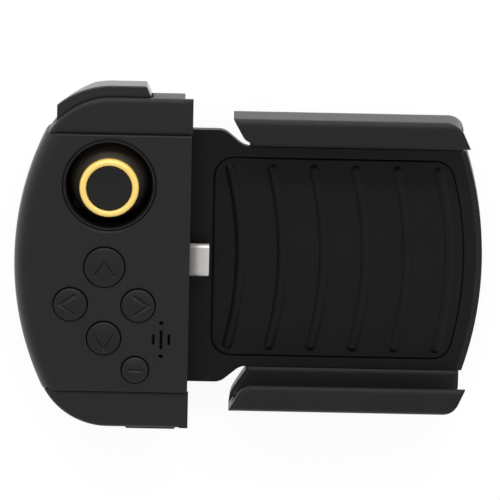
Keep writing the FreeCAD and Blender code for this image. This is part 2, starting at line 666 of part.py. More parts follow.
def cradle_cover():
    """Rear cover of the cradle: open box, narrower than the bed, with a rim round the bed's free end."""
    rim_floor = tongue_floor()
    blank = raised(cradle_face(COVER_INSET, 0, CRADLE_REACH), 0, rim_floor)
    blank = rounded(blank, COVER_ROUND, lambda edge: rim_at(0, FAR)(edge) and edge.BoundBox.XMax > EPS)
    rim = raised(cradle_face(0, 0, CRADLE_REACH), rim_floor, BED_TOP).cut(bed_blank(rim_floor, BED_TOP + 1))
    inner_reach = CRADLE_REACH - COVER_RIM - COVER_WALL
    inside = raised(cradle_face(COVER_INSET + COVER_WALL, COVER_WALL, inner_reach), COVER_WALL, rim_floor)
    shape = joined([blank.cut(inside), rim])
    slide_top = SLIDE_FLOOR + SLIDE_THICK
    reach = SLIDE_HALF_LENGTH + FIT
    slot = box(PINION_X - reach, PINION_X + reach, -FAR, FAR, SLIDE_FLOOR - FIT, slide_top + FIT)
    slot = slot.cut(box(0, FAR, 1 - COVER_INNER, COVER_INNER - 1, 0, FAR))
    posts = [post(x, y, COVER_WALL, CRADLE_SEAT + 1.6, BOSS_R) for x, y in CRADLE_SCREWS]
    posts.append(post(PINION_X, 0, COVER_WALL, SLIDE_FLOOR - GEAR_SLIP, PINION_POST_R + 1.2))
    posts.append(post(PINION_X, 0, COVER_WALL, rim_floor, PINION_POST_R))
    for side in (-1, 1):
        posts.append(post(PINION_X + side * SPRING_OFFSET, -side * SPRING_PEG_Y, COVER_WALL,
                          SLIDE_FLOOR + SLIDE_THICK + 0.8, SPRING_PEG_R))
        back = PINION_X + side * (PITCH_R + DEDENDUM + RACK_BACK + FIT)
        far = back + side * RIB
        posts.append(box(min(back, far), max(back, far), -RACK_REST_HALF, RACK_REST_HALF, COVER_WALL,
                         slide_top))
    shape = joined([shape.cut(slot)] + posts + guide_ribs(COVER_WALL, SLIDE_FLOOR - GEAR_SLIP))
    return shape.cut([screw_tunnel(x, y, CRADLE_SEAT, CRADLE_SEAT + 3) for x, y in CRADLE_SCREWS])


# Clamp arms
def arm_profile():
    """Section of the upper arm across X: back, wall and lip."""
    inner = CRADLE_HALF + FIT
    floor = BED_TOP - ARM_BACK
    top = LIP_UNDER + ARM_LIP
    return [(inner, floor, 0.6), (ARM_HALF, floor, ARM_BACK_ROUND), (ARM_HALF, top, ARM_EDGE),
            (LIP_HALF, top, ARM_EDGE * 0.6), (LIP_HALF, LIP_UNDER, ARM_EDGE * 0.6),
            (PHONE_HALF, LIP_UNDER, 0.4), (PHONE_HALF, BED_TOP, 0.4), (inner, BED_TOP, 0)]


def lip_plan():
    """Plan of the arm's wall and lip: cut away obliquely at both ends."""
    beyond = ARM_HALF + 2
    return [(ARM_START - 1.1, beyond, 0), (ARM_START + 2.85, ARM_HALF - 5.15, 3),
            (ARM_START + 5.85, LIP_HALF, 2), (ARM_START + 5.85, LIP_HALF - 9, 0),
            (ARM_END, LIP_HALF - 9, 0), (ARM_END, LIP_HALF, 0), (ARM_END - 3.0, ARM_HALF, 5),
            (ARM_END - 8, ARM_HALF, 0), (ARM_END - 8, beyond, 0)]


def back_plan():
    """Plan of the arm's back, which clears the shoulder of the cradle."""
    beyond = ARM_HALF + 2
    inner = CRADLE_HALF + FIT
    return [(ARM_START - 0.3, beyond, 0), (ARM_START + 0.4, ARM_HALF - 2.5, 5),
            (ARM_START + 4.1, inner + 1, 2), (ARM_START + 4.4, inner - 9, 0), (ARM_BACK_END, inner - 9, 0),
            (ARM_BACK_END, ARM_HALF, 5.5), (ARM_BACK_END - 9, ARM_HALF, 0), (ARM_BACK_END - 9, beyond, 0)]


def rack():
    """Toothed bar of the upper arm, left of the pinion; one tooth is centred on Y 0."""
    pitch = pi * MODULE
    line = PINION_X - PITCH_R
    root = line - DEDENDUM
    tip = line + ADDENDUM
    half_root = pitch / 4 - BACKLASH / 2 + DEDENDUM * tan(PRESSURE)
    half_tip = pitch / 4 - BACKLASH / 2 - ADDENDUM * tan(PRESSURE)
    points = []
    for k in range(-RACK_TEETH_IN, RACK_TEETH_OUT + 1):
        y = k * pitch
        points += [(root, y - half_root, 0), (tip, y - half_tip, 0), (tip, y + half_tip, 0),
                   (root, y + half_root, 0)]
    low = -RACK_TEETH_IN * pitch - half_root - 0.4
    high = SLIDE_INNER + 1
    outline = [(root - RACK_BACK, low, 0), (root, low, 0)] + points + [(root, high, 0),
                                                                       (root - RACK_BACK, high, 0)]
    return prism(outline, SLIDE_FLOOR, SLIDE_FLOOR + SLIDE_THICK)


def slide_plate():
    return box(PINION_X - SLIDE_HALF_LENGTH, PINION_X + SLIDE_HALF_LENGTH, SLIDE_INNER,
               CRADLE_HALF + FIT + 1, SLIDE_FLOOR, SLIDE_FLOOR + SLIDE_THICK)


def arm_body():
    """The upper arm's outer part: its section along X, cut to its two plans."""
    bar = prism_x(arm_profile(), 0, FAR)
    change = BED_TOP + 1.0
    upper = bar.common(prism(lip_plan(), change, FAR))
    lower = bar.common(prism(back_plan(), -1, change))
    return upper.fuse(lower)


def clamp_arm(side):
    """Arm at one side of the phone, with its slide and the rack that meets the pinion."""
    teeth = rack()
    outer = arm_body().fuse(slide_plate())
    if side < 0:
        outer = in_mirror(outer)
        teeth.rotate(V(PINION_X, 0, 0), V(0, 0, 1), 180)
    return joined([outer, teeth])


def rack_pinion():
    """Involute pinion with a gap centred on each rack."""
    base = PITCH_R * cos(PRESSURE)
    tip = PITCH_R + ADDENDUM
    root = PITCH_R - DEDENDUM
    spread = lambda radius: tan(acos(base / radius)) - acos(base / radius)
    half = pi / (2 * TEETH) - BACKLASH / (2 * PITCH_R) + tan(PRESSURE) - PRESSURE
    radii = [base + (tip - base) * step / 4 for step in range(5)]
    spot = lambda radius, angle: V(PINION_X + radius * cos(angle), radius * sin(angle), 0)
    edges = []
    step = 2 * pi / TEETH
    for k in range(TEETH):
        middle = (k + 0.5) * step
        rise = [spot(radius, middle - half + spread(radius)) for radius in radii]
        fall = [spot(radius, middle + half - spread(radius)) for radius in reversed(radii)]
        foot = spot(root, middle - half)
        valley = spot(root, middle - step / 2)
        edges.append(Part.Arc(spot(root, middle - step + half), valley, foot).toShape())
        edges.append(Part.makeLine(foot, rise[0]))
        for flank in (rise, fall):
            curve = Part.BSplineCurve()
            curve.interpolate(flank)
            edges.append(curve.toShape())
            if flank is rise:
                edges.append(Part.Arc(rise[-1], spot(tip, middle), fall[0]).toShape())
        edges.append(Part.makeLine(fall[-1], spot(root, middle + half)))
    gear = raised(Part.Face(Part.Wire(edges)), SLIDE_FLOOR, SLIDE_FLOOR + SLIDE_THICK)
    return gear.cut(post(PINION_X, 0, 0, FAR, PINION_POST_R + RUNNING))


def coil(length, radius, wire, turns):
    """Open coil spring along Z from 0 to length, of six-sided wire."""
    height = length - wire
    helix = Part.Wire(Part.makeHelix(height / turns, height, radius))
    angles = [radians(60 * k) for k in range(7)]
    section = Part.makePolygon([V(radius + wire / 2 * cos(a), 0, wire / 2 * sin(a)) for a in angles])
    spring = helix.makePipeShell([section], True, True)
    spring.translate(V(0, 0, wire / 2))
    return spring


def arm_spring(side):
    """Tension spring from an arm's slide to its peg in the cover."""
    start = SPRING_PEG_Y - SPRING_PEG_R - FIT
    spring = coil(SLIDE_INNER + start - FIT, SPRING_R, SPRING_WIRE, SPRING_TURNS)
    spring.rotate(V(0, 0, 0), V(1, 0, 0), -90)
    spring.translate(V(PINION_X + SPRING_OFFSET, -start, SLIDE_FLOOR + SLIDE_THICK / 2))
    if side < 0:
        spring.rotate(V(PINION_X, 0, 0), V(0, 0, 1), 180)
    return spring


# Thumbstick
def stick_screws():
    reach = BASE_HALF - 1.6
    return [(STICK_X - reach, STICK_Y - reach), (STICK_X + reach, STICK_Y + reach)]


def stick_collar():
    """Ring round the stick, with a flange under the panel and a bevel towards the stick."""
    top = FRONT - COLLAR_SINK
    seat = FRONT - WALL
    outer = COLLAR_OUT
    low = seat - COLLAR_FLANGE_THICK
    wide = outer + COLLAR_FLANGE
    return turned([(COLLAR_R, low), (wide, low), (wide, seat), (outer, seat), (outer, top - 0.15),
                   (outer - 0.15, top), (COLLAR_R + 0.4, top), (COLLAR_R, top - 0.6)], STICK_X, STICK_Y)


def stick_skirt():
    """Dome round the pivot that closes the collar at every tilt."""
    centre = V(STICK_X, STICK_Y, STICK_PIVOT)
    rim = STICK_PIVOT + SKIRT_R * cos(radians(SKIRT_RIM))
    ball = Part.makeSphere(SKIRT_R, centre).cut(Part.makeSphere(SKIRT_R - SKIRT_THICK, centre))
    dome = ball.common(above(rim))
    seat = neck_seat()
    hub = post(STICK_X, STICK_Y, seat - SKIRT_HUB, seat, NECK_R - 0.5)
    sunk = post(STICK_X, STICK_Y, seat, FAR, NECK_R)
    return joined([dome, hub]).cut([post(STICK_X, STICK_Y, 0, FAR, STEM_R), sunk])


def neck_seat():
    """Height at which the cap's neck sits in the top of the dome."""
    return STICK_PIVOT + SKIRT_R - 0.2


def stick_stem():
    """Lever: foot under the pivot block, slim shank through it, and the shaft that carries the cap."""
    foot = STICK_PIVOT - STEM_FOOT
    low = foot - STEM_FOOT_THICK
    shoulder = STICK_PIVOT + STEM_SHOULDER
    return turned([(0, low), (STEM_FOOT_R + 0.4, low), (STEM_FOOT_R + 0.4, foot), (STEM_FOOT_R, foot),
                   (STEM_FOOT_R, shoulder), (STEM_R, shoulder), (STEM_R, STICK_TOP - STEM_SINK),
                   (0, STICK_TOP - STEM_SINK)], STICK_X, STICK_Y)


def stick_cap():
    """Cap under the ring and the disc, with a neck down to the dome."""
    under = STICK_TOP - STICK_RING_HEIGHT
    seat = STICK_TOP - DISC_SEAT
    bore = STICK_DISC_R + RUNNING
    core = turned([(0, neck_seat()), (NECK_R, neck_seat()), (NECK_R, under), (STICK_RING_R - 1, under),
                   (STICK_RING_R - 1, under + RING_FLANGE), (bore, under + RING_FLANGE), (bore, seat),
                   (0, seat)], STICK_X, STICK_Y)
    return core.cut(post(STICK_X, STICK_Y, 0, STICK_TOP - STEM_SINK, STEM_R))


def stick_ring():
    """Yellow ring: tall outer side, rounded top, open in the middle for the disc."""
    low = STICK_TOP - STICK_RING_HEIGHT
    bore = STICK_DISC_R + RUNNING
    ring = turned([(STICK_RING_R - 1, low), (STICK_RING_R - 0.1, low), (STICK_RING_R, low + RING_FLANGE),
                   (STICK_RING_R, STICK_TOP), (bore, STICK_TOP), (bore, low + RING_FLANGE),
                   (STICK_RING_R - 1, low + RING_FLANGE)], STICK_X, STICK_Y)
    return rounded(ring, RING_ROUND, lambda edge: edge.BoundBox.ZMin > STICK_TOP - EPS)


def stick_disc():
    """Rubber disc in the ring, slightly hollow for the thumb."""
    top = STICK_TOP - DISC_SINK
    disc = post(STICK_X, STICK_Y, STICK_TOP - DISC_SEAT, top, STICK_DISC_R)
    bowl = (STICK_DISC_R ** 2 + DISC_HOLLOW ** 2) / (2 * DISC_HOLLOW)
    return disc.cut(Part.makeSphere(bowl, V(STICK_X, STICK_Y, top - DISC_HOLLOW + bowl)))


def stick_base():
    """Plate of the stick's module on its posts, with a spring seat."""
    side = BASE_HALF
    plate = prism([(STICK_X - side, STICK_Y - side, 1), (STICK_X + side, STICK_Y - side, 1),
                   (STICK_X + side, STICK_Y + side, 1), (STICK_X - side, STICK_Y + side, 1)],
                  BASE_FLOOR, BASE_FLOOR + BASE_THICK)
    return plate.cut([post(x, y, 0, FAR, SCREW_R + FIT) for x, y in stick_screws()])


def module_block(half, z0, z1):
    return box(STICK_X - half, STICK_X + half, STICK_Y - half, STICK_Y + half, z0, z1)


def across_x(radius, inner, outer):
    """Two pins along X, at both sides of the pivot."""
    return [Part.makeCylinder(radius, outer - inner, V(STICK_X + x, STICK_Y, STICK_PIVOT), V(1, 0, 0))
            for x in (-outer, inner)]


def across_y(radius, inner, outer):
    """Two pins along Y, at both sides of the pivot."""
    return [Part.makeCylinder(radius, outer - inner, V(STICK_X, STICK_Y + y, STICK_PIVOT), V(0, 1, 0))
            for y in (-outer, inner)]


def stick_housing():
    """Pressed frame of the module, open at the top, with a bearing hole in each side."""
    floor = BASE_FLOOR + BASE_THICK
    top = STICK_PIVOT + HOUSING_ABOVE
    inside = module_block(HOUSING_HALF - HOUSING_WALL, floor - 1, top + 1)
    shell = module_block(HOUSING_HALF, floor, top).cut(inside)
    hole = TRUNNION_R + RUNNING
    return shell.cut(across_x(hole, 1, HOUSING_HALF + 1) + across_y(hole, 1, HOUSING_HALF + 1))


def stick_sensors():
    """Angle sensors on the two sides that the yokes turn."""
    near, far = HOUSING_HALF, HOUSING_HALF + SENSOR_THICK
    z0, z1 = STICK_PIVOT - 2.2, STICK_PIVOT + 1.8
    first = box(STICK_X - far, STICK_X - near, STICK_Y - 3.4, STICK_Y + 3.4, z0, z1)
    second = box(STICK_X - 3.4, STICK_X + 3.4, STICK_Y - far, STICK_Y - near, z0, z1)
    hole = TRUNNION_R + RUNNING
    return group([first.cut(across_x(hole, 1, far - 0.5)), second.cut(across_y(hole, 1, far - 0.5))])


def main_yoke():
    """Frame that turns about Y and carries the pivot block."""
    low, high = STICK_PIVOT - 1.2, STICK_PIVOT + 1.2
    outer = box(STICK_X - 3.2, STICK_X + 3.2, STICK_Y - 3.6, STICK_Y + 3.6, low, high)
    inner = box(STICK_X - 2.2, STICK_X + 2.2, STICK_Y - 2.4, STICK_Y + 2.4, low - 1, high + 1)
    shape = joined([outer.cut(inner)] + across_y(TRUNNION_R, 3.5, HOUSING_HALF + PIN_END))
    return shape.cut(across_x(0.8 + RUNNING, 1, 4))


def cross_yoke():
    """Arch over the main yoke that turns about X, slotted for the stem."""
    def drum(radius, half):
        return Part.makeCylinder(radius, 2 * half, V(STICK_X, STICK_Y - half, STICK_PIVOT), V(0, 1, 0))
    arch = drum(ARCH_R, ARCH_HALF).cut(drum(ARCH_R - ARCH_THICK, ARCH_HALF + 1))
    arch = arch.common(above(STICK_PIVOT - 1.2))
    slot = prism(oblong(STICK_X, STICK_Y, 6.4, 2 * STEM_R + 0.24), STICK_PIVOT + 1.5, STICK_PIVOT + 6)
    return joined([arch.cut(slot)] + across_x(TRUNNION_R, ARCH_R - 0.6, HOUSING_HALF + PIN_END))


def stick_pivot():
    """Block in the main yoke that turns about X; the stem slides through it."""
    low, high = STICK_PIVOT - PIVOT_BLOCK_HALF, STICK_PIVOT + PIVOT_BLOCK_HALF
    block = box(STICK_X - 1.9, STICK_X + 1.9, STICK_Y - 1.8, STICK_Y + 1.8, low, high)
    shape = joined([block] + across_x(0.8, 1.8, 3.1))
    return shape.cut(post(STICK_X, STICK_Y, 0, FAR, STEM_FOOT_R + RUNNING))


def stick_spring():
    """Centring spring between the module's plate and the stem's foot."""
    floor = BASE_FLOOR + BASE_THICK
    spring = coil(STICK_PIVOT - STEM_FOOT - STEM_FOOT_THICK - floor - 0.1, 1.3, 0.4, 3)
    spring.translate(V(STICK_X, STICK_Y, floor))
    return spring


# Buttons
def button_mark(x, y, radius, turn, reach):
    """Groove on the button's face: an open chevron that points outwards, or a short bar."""
    if reach is None:
        return prism(oblong(x, y, radius * 0.9, MARK_STROKE), FRONT, FRONT + 9)
    tip, tail = x + reach, x + reach - MARK_LENGTH
    slope = MARK_STROKE * sqrt(MARK_LENGTH ** 2 + MARK_HALF ** 2) / MARK_HALF
    outline = [(tail, y + MARK_HALF, 0), (tip, y, 0), (tail, y - MARK_HALF, 0),
               (tail - slope, y - MARK_HALF, 0), (tip - slope, y, 0), (tail - slope, y + MARK_HALF, 0)]
    mark = prism(outline, FRONT, FRONT + 9)
    mark.rotate(V(x, y, 0), V(0, 0, 1), turn)
    return mark


def push_button(x, y, radius, turn, reach):
    """Domed cap, retaining flange under the panel and plunger down to the membrane."""
    edge = FRONT + BUTTON_EDGE
    bowl = (radius ** 2 + BUTTON_CROWN ** 2) / (2 * BUTTON_CROWN)
    flange_top = FRONT - WALL - RUNNING
    flange_low = flange_top - BUTTON_FLANGE_THICK
    low = BOARD_TOP + MEMBRANE_THICK + DOME_RISE + RUNNING
    body = post(x, y, flange_low, edge + BUTTON_CROWN, radius)
    dome = Part.makeSphere(bowl, V(x, y, edge + BUTTON_CROWN - bowl))
    body = body.common(dome)
    side = lambda one: abs(one.BoundBox.ZMin - edge) < 0.01 and one.BoundBox.XLength > radius
    body = rounded(body, BUTTON_SOFTEN, side)
    sunk = Part.makeSphere(bowl, V(x, y, edge + BUTTON_CROWN - bowl - MARK_DEPTH))
    body = body.cut(button_mark(x, y, radius, turn, reach).cut(sunk))
    flange = post(x, y, flange_low, flange_top, radius + BUTTON_FLANGE)
    return joined([body, flange, post(x, y, low, flange_low, PLUNGER_R)])


def shoulder_zone(outer, inner, gap, low, z0, z1):
    """Part of a band along the grip's edge, between the button's two ends and above Y low.

    Outer and inner are the band's insets from the grip's side, and gap widens it at the ends and behind.
    """
    band = raised(grip_face(outer, 0), z0, z1).cut(raised(grip_face(inner, 0), z0 - 1, z1 + 1))
    left, right = SHOULDER_LEFT - gap, SHOULDER_RIGHT + gap
    rise = 10
    ends = [(left, low, 0), (right, low, 0), (right, GRIP_HALF, 0),
            (right - rise * SHOULDER_SLANT, GRIP_HALF + rise, 0), (left, GRIP_HALF + rise, 0)]
    return band.common(prism(ends, z0, z1)).common(shoulder_depth(gap))


def shoulder_depth(gap):
    """Everything in front of the button's rear edge, which rises towards the left end."""
    tip = SHOULDER_FRONT - SHOULDER_TIP - gap
    thick = SHOULDER_LEFT + SHOULDER_THIN + SHOULDER_SWELL
    outline = [(-FAR, tip), (SHOULDER_LEFT + SHOULDER_THIN, tip), (thick, SHOULDER_BACK - gap), (thick, 0),
               (FAR, 0), (FAR, FAR), (-FAR, FAR), (-FAR, tip)]
    return Part.Face(Part.makePolygon([V(x, 0, z) for x, z in outline])).extrude(V(0, FAR, 0))


def shoulder_button():
    """Button that wraps the grip's corner, with its inner flange and the ear that it turns on."""
    z0, z1 = SHOULDER_BACK, SHOULDER_FRONT
    low = PANEL_HALF + 1 + SHOULDER_SWING
    blank = raised(grip_face(-SHOULDER_PROUD, 0), z0, z1)
    blank = rounded(blank, SHOULDER_ROUND, rim_at(z1, 0))
    blank = rounded(blank, SHOULDER_ROUND, rim_at(z0, 0))
    cap = blank.common(shoulder_zone(-SHOULDER_PROUD - 1, WALL - 0.2, 0, low, z0, z1))
    under, top = z0 + 0.1, CAP_FRONT - WALL - GAP
    inner = WALL + 2 * GAP
    neck = shoulder_zone(WALL - 0.3, inner + 0.1, 0, low, under, top)
    flange = shoulder_zone(inner, inner + SHOULDER_WALL, 0.8, low, under, top)
    arm = box(SHOULDER_RIGHT - 1, SHOULDER_PIN_X, SHOULDER_PIN_Y - 0.9, SHOULDER_PIN_Y + 1, under, top - 0.1)
    ear = post(SHOULDER_PIN_X, SHOULDER_PIN_Y, under, top - 0.1, SHOULDER_EAR_R - 0.2)
    shape = joined([cap, neck, flange, arm, ear])
    return shape.cut(post(SHOULDER_PIN_X, SHOULDER_PIN_Y, 0, FAR, SHOULDER_PIN_R + RUNNING))


def shoulder_pin():
    return post(SHOULDER_PIN_X, SHOULDER_PIN_Y, SPLIT - 1.2, CAP_FRONT - WALL + 0.8, SHOULDER_PIN_R)


def corner_centre():
    """X of the middle of the grip's corner rounds."""
    reach = SIDE_BOW - CORNER
    return SIDE_BOW - GRIP_REACH - sqrt(reach ** 2 - (GRIP_HALF - CORNER) ** 2)


def switch_place():
    """Middle of the switch in X, and the face of its board in Y."""
    y = GRIP_HALF - WALL - 2 * GAP - SHOULDER_WALL - SWITCH_ROOM - SWITCH_TIP - SWITCH_DEEP
    return (corner_centre() + SHOULDER_RIGHT) / 2, y


def shoulder_switch():
    """Push switch behind the shoulder button, its plunger just clear of the button's travel."""
    x, y = switch_place()
    floor = SHOULDER_BACK + 1.2
    body = box(x - SWITCH_HALF, x + SWITCH_HALF, y, y + SWITCH_DEEP, floor, floor + 3.2)
    tip = Part.makeCylinder(SWITCH_TIP_R, SWITCH_TIP, V(x, y + SWITCH_DEEP, floor + 1.6), V(0, 1, 0))
    return joined([body, tip])


def shoulder_board():
    """Upright board that carries the switch, held against the cap's front."""
    x, y = switch_place()
    return box(x - SWITCH_BOARD_HALF, x + SWITCH_BOARD_HALF, y - SWITCH_BOARD, y, SPLIT, CAP_FRONT - WALL)


# Board, membrane, plug, socket and duct
def main_board():
    """Board under the buttons, with a strip down to the charging socket."""
    low = -GRIP_HALF + WALL + 0.4
    left, right = -BOARD_LEFT, -WALL - FIT
    board = prism([(left, -BOARD_LOW, 2), (-BOARD_TAIL, -BOARD_LOW, 1), (-BOARD_TAIL, low, 0.5),
                   (right, low, 0.5), (right, BOARD_HIGH, 0.5), (left, BOARD_HIGH, 2)],
                  BOARD_FLOOR, BOARD_TOP)
    board = board.common(raised(grip_face(WALL + 0.6, right), BOARD_FLOOR, BOARD_TOP))
    holes = [post(x, y, 0, FAR, SCREW_R + FIT) for x, y in BOARD_SCREWS]
    holes += [post(x, y, 0, FAR, PILOT_R + GAP) for x, y in PANEL_SCREWS]
    return board.cut(holes)


def button_membrane():
    """Rubber sheet on the board with a dome under each button."""
    left, right = -BOARD_LEFT + 0.5, GRILLE_X - MEMBRANE_EDGE
    low, high = 0.5 - BOARD_LOW, BOARD_HIGH - MEMBRANE_SHORT
    top = BOARD_TOP + MEMBRANE_THICK
    sheet = prism([(left, low, 2), (right, low, 1), (right, high, 1), (left, high, 1)], BOARD_TOP, top)
    sheet = sheet.common(raised(grip_face(WALL + 1.0, 0), BOARD_TOP, top))
    domes = [Part.makeCone(DOME_R, DOME_R * 0.75, DOME_RISE, V(x, y, top))
             for x, y, radius, turn, reach in BUTTONS.values()]
    holes = [post(x, y, 0, FAR, HEAD_R + GAP) for x, y in BOARD_SCREWS]
    holes += [post(x, y, 0, FAR, PILOT_R + GAP) for x, y in PANEL_SCREWS]
    return joined([sheet] + domes).cut(holes)


def plug_shell():
    """Metal shell of the plug, open at its tip, with a softened edge."""
    outer = prism_x(oblong(0, PLUG_Z, PLUG_WIDTH, PLUG_HEIGHT), -PLUG_ROOT, PLUG_REACH)
    tip = lambda edge: edge.BoundBox.XMin > PLUG_REACH - EPS
    outer = rounded(outer, 0.3, tip)
    inner = oblong(0, PLUG_Z, PLUG_WIDTH - 2 * PLUG_WALL, PLUG_HEIGHT - 2 * PLUG_WALL)
    return outer.cut(prism_x(inner, -PLUG_ROOT - 1, PLUG_REACH + 1))


def plug_insert():
    """Insulator inside the plug's shell, slotted for the phone's contact tongue."""
    width, height = PLUG_WIDTH - 2 * PLUG_WALL, PLUG_HEIGHT - 2 * PLUG_WALL
    body = prism_x(oblong(0, PLUG_Z, width, height), -PLUG_ROOT, PLUG_REACH - 0.3)
    slot = box(0.8, PLUG_REACH + 1, -width / 2 + 0.5, width / 2 - 0.5, PLUG_Z - 0.4, PLUG_Z + 0.4)
    return body.cut(slot)


def plug_block():
    """Moulded base of the plug, on the board behind the phone's wall."""
    back = -WALL - FIT - BLOCK_LENGTH
    half = BLOCK_WIDTH / 2
    block = box(back, -WALL - FIT, -half, half, BOARD_TOP, PLUG_Z + PLUG_HEIGHT / 2 + 1)
    hole = prism_x(oblong(0, PLUG_Z, PLUG_WIDTH, PLUG_HEIGHT), -PLUG_ROOT, 1)
    return block.cut(hole)


def socket_z():
    return BOARD_TOP + SOCKET_HEIGHT / 2


def socket_shell():
    """Metal shell of the charging socket on the board's lower end."""
    front = -GRIP_HALF + 0.3
    outer = oblong_y(SOCKET_X, socket_z(), SOCKET_WIDTH, SOCKET_HEIGHT, front, front + SOCKET_LENGTH)
    inner = oblong_y(SOCKET_X, socket_z(), SOCKET_WIDTH - 0.6, SOCKET_HEIGHT - 0.6, front - 1,
                     front + SOCKET_LENGTH - 0.5)
    return outer.cut(inner)


def socket_tongue():
    back = -GRIP_HALF + 0.3 + SOCKET_LENGTH - 0.5
    z = socket_z()
    root = oblong_y(SOCKET_X, z, SOCKET_WIDTH - 0.6, SOCKET_HEIGHT - 0.6, back - 1.4, back)
    blade = box(SOCKET_X - 3.3, SOCKET_X + 3.3, back - SOCKET_LENGTH + 1.6, back, z - 0.35, z + 0.35)
    return joined([root, blade])


def sound_duct():
    """Gutter from the slot in the phone's wall up to the grille."""
    right = -WALL - FIT
    across = 2 * (right - GRILLE_X)
    outer = oblong(GRILLE_X, GRILLE_Y, across, 2 * DUCT_HALF)
    inner = oblong(GRILLE_X, GRILLE_Y, across - 2 * DUCT_WALL, 2 * (DUCT_HALF - DUCT_WALL))
    top = FRONT - WALL
    shape = prism(outer, BOARD_TOP, top).cut(prism(inner, BOARD_TOP + DUCT_WALL, top + 1))
    mouth = duct_inlet()
    mouth.translate(V(-DUCT_WALL - 0.4, 0, 0))
    return shape.cut(mouth)


def all_screws(places, seat, depth):
    return group([screw(x, y, seat, depth) for x, y in places])


def board_screw(x, y, top, depth):
    """Slotted pan head screw from above."""
    head = top + 0.9
    arm, half, cut = HEAD_R * 0.6, 0.2, 0.4
    body = joined([post(x, y, top, head, HEAD_R), post(x, y, top - depth, top, SCREW_R)])
    return body.cut(box(x - arm, x + arm, y - half, y + half, head - cut, head + 1))


def main():
    os.makedirs("parts", exist_ok=True)
    grip_places = PANEL_SCREWS + TOP_CAP_SCREWS + BOTTOM_CAP_SCREWS
    single = [front_panel, top_cap, bottom_cap, grip_shell, cradle_bed, cradle_cover, phone_pad, rack_pinion,
              stick_collar, stick_skirt, stick_stem, stick_cap, stick_ring, stick_disc, stick_base,
              stick_housing, stick_sensors, main_yoke, cross_yoke, stick_pivot, stick_spring,
              shoulder_button, shoulder_pin, shoulder_switch, shoulder_board, main_board, button_membrane,
              plug_shell, plug_insert, plug_block, socket_shell, socket_tongue, sound_duct]
    for make in single:
        save(make.__name__, make())
    for name, place in BUTTONS.items():
        save(name, push_button(*place))
    save("upper_arm", clamp_arm(1))
    save("lower_arm", clamp_arm(-1))
    save("upper_spring", arm_spring(1))
    save("lower_spring", arm_spring(-1))
    save("grip_screws", all_screws(grip_places, GRIP_SEAT, SPLIT + PILOT_DEPTH - 1))
    save("cradle_screws", all_screws(CRADLE_SCREWS, CRADLE_SEAT, CRADLE_SEAT + CRADLE_SCREW_LENGTH))
    save("board_screws", group([board_screw(x, y, BOARD_TOP, BOARD_THICK + PILOT_DEPTH - 1)
                                for x, y in BOARD_SCREWS]))
    save("stick_module_screws", group([board_screw(x, y, BASE_FLOOR + BASE_THICK, BASE_THICK + 2)
                                       for x, y in stick_screws()]))


main()
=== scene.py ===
import json

import bmesh
import bpy
import numpy as np
from mathutils import Matrix, Vector


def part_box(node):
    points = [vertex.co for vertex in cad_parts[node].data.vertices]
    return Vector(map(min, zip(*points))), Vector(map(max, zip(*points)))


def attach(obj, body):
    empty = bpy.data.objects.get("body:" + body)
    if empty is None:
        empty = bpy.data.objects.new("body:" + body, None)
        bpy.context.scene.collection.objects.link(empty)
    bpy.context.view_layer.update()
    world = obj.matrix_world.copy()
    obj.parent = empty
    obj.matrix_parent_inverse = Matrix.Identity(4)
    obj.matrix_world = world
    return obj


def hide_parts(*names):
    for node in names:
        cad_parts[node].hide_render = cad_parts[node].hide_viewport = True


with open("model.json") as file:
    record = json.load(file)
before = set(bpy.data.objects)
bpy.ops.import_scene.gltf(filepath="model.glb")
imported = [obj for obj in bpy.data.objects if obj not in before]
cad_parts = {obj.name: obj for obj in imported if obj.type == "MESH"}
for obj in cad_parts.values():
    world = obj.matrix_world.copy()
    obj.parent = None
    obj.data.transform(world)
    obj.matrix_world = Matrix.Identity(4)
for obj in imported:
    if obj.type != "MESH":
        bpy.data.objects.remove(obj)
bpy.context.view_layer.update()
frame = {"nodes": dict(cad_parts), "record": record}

MM = 0.001                # shapes are worked out in mm, materials and the stage in metres
BODY_OF = {node: body for body, nodes in frame["record"]["behaviour"]["bodies"].items() for node in nodes}
SLOT_OF = {part["node"]: part["material_slot"] for part in frame["record"]["subparts"]}


# Shader expressions
class Value:
    """A shader socket; arithmetic on it adds Math nodes."""

    def __init__(self, tree, socket):
        self.tree = tree
        self.socket = socket

    def math(self, operation, *values):
        return self.tree.node("ShaderNodeMath", {"operation": operation}, dict(enumerate(values)))

    def __add__(self, other):
        return self.math("ADD", self, other)

    __radd__ = __add__

    def __rsub__(self, other):
        return self.math("SUBTRACT", other, self)

    def __mul__(self, other):
        return self.math("MULTIPLY", self, other)

    __rmul__ = __mul__

    def __pow__(self, other):
        return self.math("POWER", self, other)

    def sine(self):
        return self.math("SINE", self)

    def at_least(self, other):
        return self.math("MAXIMUM", self, other)


